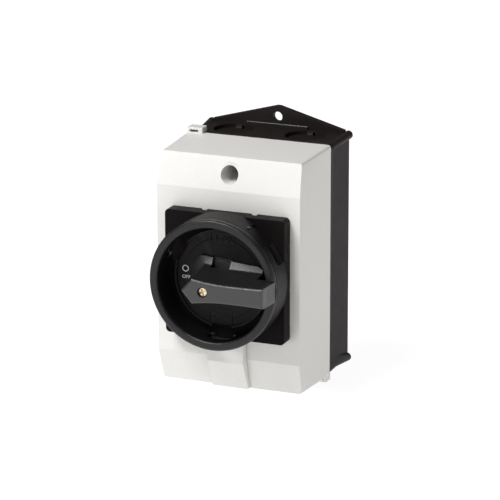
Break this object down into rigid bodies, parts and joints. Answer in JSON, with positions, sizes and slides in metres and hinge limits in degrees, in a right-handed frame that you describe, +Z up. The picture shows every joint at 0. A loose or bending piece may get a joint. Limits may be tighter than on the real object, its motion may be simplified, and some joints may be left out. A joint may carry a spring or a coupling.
{
  "type": "rotary isolator switch",
  "caption": "Surface-mounting rotary isolator: grey cover on a black base with fixing lugs, square black front plate, round padlockable collar and a pointer-shaped thumb grip.",
  "frame": {"origin": "centre of the flat rear face that rests against the wall", "axes": "+X to the right seen from the front, +Y into the wall, +Z up"},
  "size_m": [0.0818, 0.108, 0.1464],
  "materials": {
    "base_black": "satin, fine moulded grain",
    "cover_grey": "satin, fine moulded grain",
    "plate_black": "satin",
    "grip_black": "satin, fine moulded grain",
    "seal_rubber": "matt",
    "screw_brass": "polished",
    "zinc_steel": "zinc plated",
    "spring_steel": "bright",
    "contact_copper": "bright",
    "bar_brass": "machined",
    "cam_plastic": "satin",
    "switch_body": "matt"
  },
  "bodies": {
    "enclosure": {"rear_base": "base_black", "cover_seal": "seal_rubber", "front_cover": "cover_grey", "cover_screw_top": "zinc_steel", "cover_screw_bottom": "zinc_steel", "screw_cover_strip": "cover_grey", "front_plate": "plate_black", "plate_seal": "seal_rubber", "plate_screw_1": "zinc_steel", "plate_screw_2": "zinc_steel", "shaft_bush": "cam_plastic", "legend_disc": "plate_black", "end_plate": "switch_body", "foot_screw_top": "zinc_steel", "foot_screw_bottom": "zinc_steel", "latch_housing": "switch_body", "latch_roller_top": "zinc_steel", "latch_roller_bottom": "zinc_steel", "latch_spring_top": "spring_steel", "latch_spring_bottom": "spring_steel", "tie_screw_left": "zinc_steel", "tie_screw_right": "zinc_steel", "contact_chamber_1": "switch_body", "contact_chamber_2": "switch_body", "contact_spring_1": "spring_steel", "fixed_contact_1_line": "contact_copper", "terminal_screw_1_line": "zinc_steel", "fixed_contact_1_load": "contact_copper", "terminal_screw_1_load": "zinc_steel", "contact_spring_2": "spring_steel", "fixed_contact_2_line": "contact_copper", "terminal_screw_2_line": "zinc_steel", "fixed_contact_2_load": "contact_copper", "terminal_screw_2_load": "zinc_steel", "contact_spring_3": "spring_steel", "fixed_contact_3_line": "contact_copper", "terminal_screw_3_line": "zinc_steel", "fixed_contact_3_load": "contact_copper", "terminal_screw_3_load": "zinc_steel", "earth_bar": "bar_brass", "earth_screw_1": "zinc_steel", "earth_screw_2": "zinc_steel", "neutral_bar": "bar_brass", "neutral_screw_1": "zinc_steel", "neutral_screw_2": "zinc_steel"},
    "handle_rotor": {"thumb_grip": "grip_black", "locking_ring": "grip_black", "handle_screw": "screw_brass", "drive_shaft": "zinc_steel", "latch_wheel": "cam_plastic", "switch_cam_1": "cam_plastic", "switch_cam_2": "cam_plastic"},
    "moving_contact_1": {"plunger_1": "cam_plastic", "contact_bridge_1": "contact_copper"},
    "moving_contact_2": {"plunger_2": "cam_plastic", "contact_bridge_2": "contact_copper"},
    "moving_contact_3": {"plunger_3": "cam_plastic", "contact_bridge_3": "contact_copper"}
  },
  "joints": [
    {"name": "handle_turn", "type": "hinge", "parent": "enclosure", "child": "handle_rotor", "pos_m": [0.0012, 0, 0.0008], "axis": [0, 1, 0], "range_deg": [0, 90]},
    {"name": "contact_slide_1", "type": "slide", "parent": "enclosure", "child": "moving_contact_1", "axis": [1, 0, 0], "range_m": [0, 0.003], "deforming": ["contact_spring_1"]},
    {"name": "contact_slide_2", "type": "slide", "parent": "enclosure", "child": "moving_contact_2", "axis": [-1, 0, 0], "range_m": [0, 0.003], "deforming": ["contact_spring_2"]},
    {"name": "contact_slide_3", "type": "slide", "parent": "enclosure", "child": "moving_contact_3", "axis": [1, 0, 0], "range_m": [0, 0.003], "deforming": ["contact_spring_3"]}
  ],
  "couplings": [
    {"joint": "contact_slide_1", "follows": "handle_turn", "m_per_rad": 0.0019},
    {"joint": "contact_slide_2", "follows": "handle_turn", "m_per_rad": 0.0019},
    {"joint": "contact_slide_3", "follows": "handle_turn", "m_per_rad": 0.0019}
  ]
}
